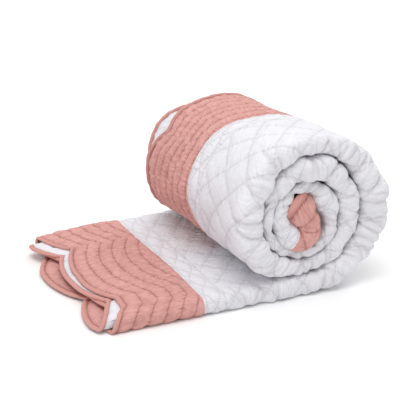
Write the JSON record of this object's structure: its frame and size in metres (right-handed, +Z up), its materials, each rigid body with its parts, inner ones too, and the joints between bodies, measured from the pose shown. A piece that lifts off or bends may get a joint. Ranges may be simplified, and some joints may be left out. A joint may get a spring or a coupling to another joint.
{
  "type": "quilt, folded and rolled up",
  "caption": "Quilt with a diamond-quilted middle and scallop-edged borders, folded lengthwise to a strip and rolled up, with a loose end lying flat",
  "frame": {"origin": "middle of the footprint, on the surface the quilt lies on", "axes": "+X along the strip from the loose end to the roll, +Y along the roll's axis from its open folds to its far end, +Z up"},
  "size_m": [0.6326, 0.4736, 0.3401],
  "materials": {
    "white_cotton": "washed, quilted",
    "coral_cotton": "washed, quilted",
    "white_backing": "plain weave",
    "coral_binding": "plain weave"
  },
  "bodies": {
    "root": {"field_tail": "white_cotton", "field_roll": "white_cotton", "foot_border": "coral_cotton", "head_border": "coral_cotton", "outer_side_border": "coral_cotton", "inner_side_border": "coral_cotton", "foot_backing": "white_backing", "inner_side_backing": "white_backing", "foot_binding": "coral_binding", "head_binding": "coral_binding", "outer_side_binding": "coral_binding", "inner_side_binding": "coral_binding"}
  },
  "joints": []
}
